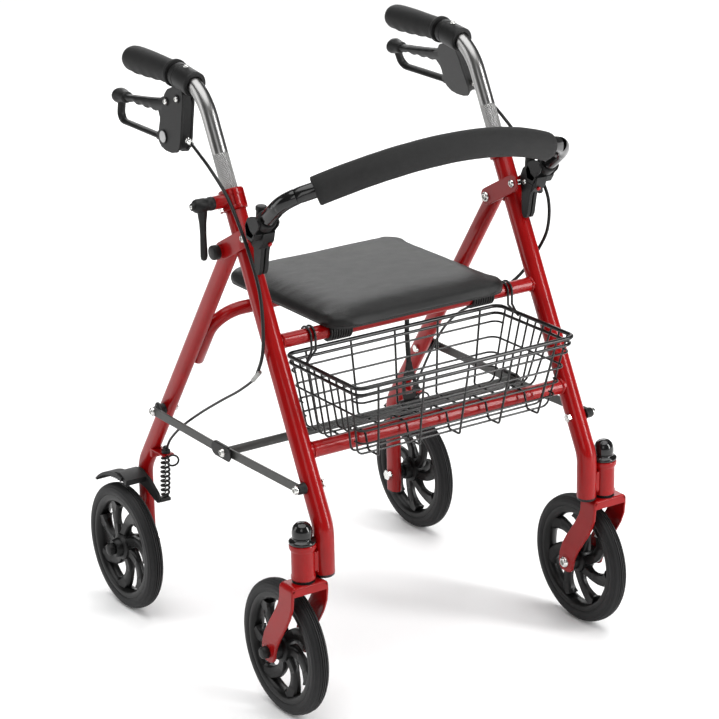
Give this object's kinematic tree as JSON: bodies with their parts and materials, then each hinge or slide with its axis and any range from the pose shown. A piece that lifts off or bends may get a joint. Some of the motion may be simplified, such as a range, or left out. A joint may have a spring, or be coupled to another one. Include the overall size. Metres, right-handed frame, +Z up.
{
  "type": "rollator walker",
  "caption": "Folding wheeled walker with swivel casters, padded lift-up seat, foam-covered backrest bar, wire basket, hand brakes and height-adjustable handles.",
  "frame": {"origin": "on the floor, under the middle of the bounding box", "axes": "+Z up, -Y towards the casters (the direction of travel), +X towards the user's left"},
  "size_m": [0.5786, 0.621, 0.8453],
  "materials": {
    "red_paint": "gloss, fine metallic",
    "black_plastic": "satin",
    "grip_rubber": "matt",
    "black_steel": "satin",
    "zinc": "bright zinc plate",
    "chrome": "satin with a knurled band",
    "cable_black": "gloss",
    "tyre": "matt",
    "vinyl": "fine grain",
    "foam": "matt, finely pitted"
  },
  "bodies": {
    "front_frame": {"front_leg_right": "red_paint", "front_leg_left": "red_paint", "fold_bracket_right": "red_paint", "fold_bracket_left": "red_paint", "fold_bolt_right": "zinc", "fold_bolt_left": "zinc", "leg_clamp_right": "red_paint", "leg_clamp_left": "red_paint", "caster_housing_right": "red_paint", "caster_housing_left": "red_paint", "caster_cap_right": "black_plastic", "caster_cap_left": "black_plastic", "seat_tube": "red_paint", "cross_tube": "red_paint", "backrest_bracket_right": "black_plastic", "backrest_bracket_left": "black_plastic", "basket": "black_steel", "brake_cable_right": "cable_black", "brake_cable_left": "cable_black"},
    "rear_frame": {"rear_leg_right": "red_paint", "rear_leg_left": "red_paint", "rear_arch": "red_paint", "rear_axle_right": "zinc", "rear_axle_left": "zinc", "brake_spring_right": "black_steel", "brake_spring_left": "black_steel"},
    "clamp_lever_right_body": {"clamp_lever_right": "black_plastic"},
    "handle_right": {"handle_tube_right": "chrome", "grip_right": "grip_rubber", "brake_housing_right": "black_plastic"},
    "brake_lever_right_body": {"brake_lever_right": "black_plastic"},
    "caster_right": {"fork_right": "red_paint", "front_axle_right": "zinc"},
    "front_wheel_right_body": {"front_wheel_right": "black_plastic", "front_tyre_right": "tyre"},
    "rear_wheel_right_body": {"rear_wheel_right": "black_plastic", "rear_tyre_right": "tyre"},
    "brake_arm_right_body": {"brake_arm_right": "black_plastic"},
    "clamp_lever_left_body": {"clamp_lever_left": "black_plastic"},
    "handle_left": {"handle_tube_left": "chrome", "grip_left": "grip_rubber", "brake_housing_left": "black_plastic"},
    "brake_lever_left_body": {"brake_lever_left": "black_plastic"},
    "caster_left": {"fork_left": "red_paint", "front_axle_left": "zinc"},
    "front_wheel_left_body": {"front_wheel_left": "black_plastic", "front_tyre_left": "tyre"},
    "rear_wheel_left_body": {"rear_wheel_left": "black_plastic", "rear_tyre_left": "tyre"},
    "brake_arm_left_body": {"brake_arm_left": "black_plastic"},
    "front_struts": {"front_strut_right": "black_steel", "front_strut_left": "black_steel", "strut_crossbar": "black_steel", "pull_strap": "black_plastic"},
    "rear_struts": {"rear_strut_right": "black_steel", "rear_strut_left": "black_steel"},
    "seat": {"seat_board": "black_plastic", "seat_pad": "vinyl"},
    "backrest": {"backrest_bar": "black_steel", "backrest_foam": "foam"}
  },
  "joints": [
    {"name": "clamp_right", "type": "hinge", "parent": "front_frame", "child": "clamp_lever_right_body", "pos_m": [-0.267, -0.06454, 0.68], "axis": [1, 0, 0], "range_deg": [0, 180]},
    {"name": "handle_height_right", "type": "slide", "parent": "front_frame", "child": "handle_right", "axis": [0, 0.4498, 0.8931], "range_m": [0, 0.127], "deforming": ["brake_cable_right"]},
    {"name": "squeeze_right", "type": "hinge", "parent": "handle_right", "child": "brake_lever_right_body", "pos_m": [-0.2207, 0.0855, 0.78601], "axis": [0.9998, 0, -0.0175], "range_deg": [0, 12], "stiffness_Nm_per_rad": 8},
    {"name": "caster_swivel_right", "type": "hinge", "parent": "front_frame", "child": "caster_right", "pos_m": [-0.252, -0.2655, 0.235], "axis": [0, 0, 1], "continuous": true},
    {"name": "front_roll_right", "type": "hinge", "parent": "caster_right", "child": "front_wheel_right_body", "pos_m": [-0.252, -0.2155, 0.095], "axis": [1, 0, 0], "continuous": true},
    {"name": "clamp_left", "type": "hinge", "parent": "front_frame", "child": "clamp_lever_left_body", "pos_m": [0.267, -0.06454, 0.68], "axis": [1, 0, 0], "range_deg": [0, 180]},
    {"name": "handle_height_left", "type": "slide", "parent": "front_frame", "child": "handle_left", "axis": [0, 0.4498, 0.8931], "range_m": [0, 0.127], "deforming": ["brake_cable_left"]},
    {"name": "squeeze_left", "type": "hinge", "parent": "handle_left", "child": "brake_lever_left_body", "pos_m": [0.23691, 0.0855, 0.78975], "axis": [0.9063, 0, 0.4226], "range_deg": [0, 12], "stiffness_Nm_per_rad": 8},
    {"name": "caster_swivel_left", "type": "hinge", "parent": "front_frame", "child": "caster_left", "pos_m": [0.252, -0.2655, 0.235], "axis": [0, 0, 1], "continuous": true},
    {"name": "front_roll_left", "type": "hinge", "parent": "caster_left", "child": "front_wheel_left_body", "pos_m": [0.252, -0.2155, 0.095], "axis": [1, 0, 0], "continuous": true},
    {"name": "fold", "type": "hinge", "parent": "front_frame", "child": "rear_frame", "pos_m": [0, -0.0545, 0.6085], "axis": [1, 0, 0], "range_deg": [-24, 0], "deforming": ["brake_cable_right", "brake_cable_left", "pull_strap"]},
    {"name": "rear_roll_right", "type": "hinge", "parent": "rear_frame", "child": "rear_wheel_right_body", "pos_m": [-0.258, 0.2155, 0.095], "axis": [1, 0, 0], "continuous": true},
    {"name": "brake_right", "type": "hinge", "parent": "rear_frame", "child": "brake_arm_right_body", "pos_m": [-0.237, 0.2155, 0.199], "axis": [1, 0, 0], "range_deg": [-9, 0], "stiffness_Nm_per_rad": 6, "deforming": ["brake_spring_right"]},
    {"name": "rear_roll_left", "type": "hinge", "parent": "rear_frame", "child": "rear_wheel_left_body", "pos_m": [0.258, 0.2155, 0.095], "axis": [1, 0, 0], "continuous": true},
    {"name": "brake_left", "type": "hinge", "parent": "rear_frame", "child": "brake_arm_left_body", "pos_m": [0.237, 0.2155, 0.199], "axis": [1, 0, 0], "range_deg": [-9, 0], "stiffness_Nm_per_rad": 6, "deforming": ["brake_spring_left"]},
    {"name": "front_struts_turn", "type": "hinge", "parent": "front_frame", "child": "front_struts", "pos_m": [0, -0.2445, 0.329], "axis": [1, 0, 0], "range_deg": [0, 38.6]},
    {"name": "rear_struts_turn", "type": "hinge", "parent": "rear_frame", "child": "rear_struts", "pos_m": [0, 0.136, 0.326], "axis": [1, 0, 0], "range_deg": [-34.9, 0]},
    {"name": "seat_lift", "type": "hinge", "parent": "front_frame", "child": "seat", "pos_m": [0, -0.1525, 0.502], "axis": [1, 0, 0], "range_deg": [0, 75]},
    {"name": "backrest_fold", "type": "hinge", "parent": "front_frame", "child": "backrest", "pos_m": [0, -0.1595, 0.672], "axis": [1, 0, 0], "range_deg": [-45, 0]}
  ],
  "couplings": [
    {"joint": "brake_right", "follows": "squeeze_right", "ratio": -0.75},
    {"joint": "brake_left", "follows": "squeeze_left", "ratio": -0.75},
    {"joint": "front_struts_turn", "follows": "fold", "ratio": -1.604},
    {"joint": "rear_struts_turn", "follows": "fold", "ratio": 1.45}
  ]
}
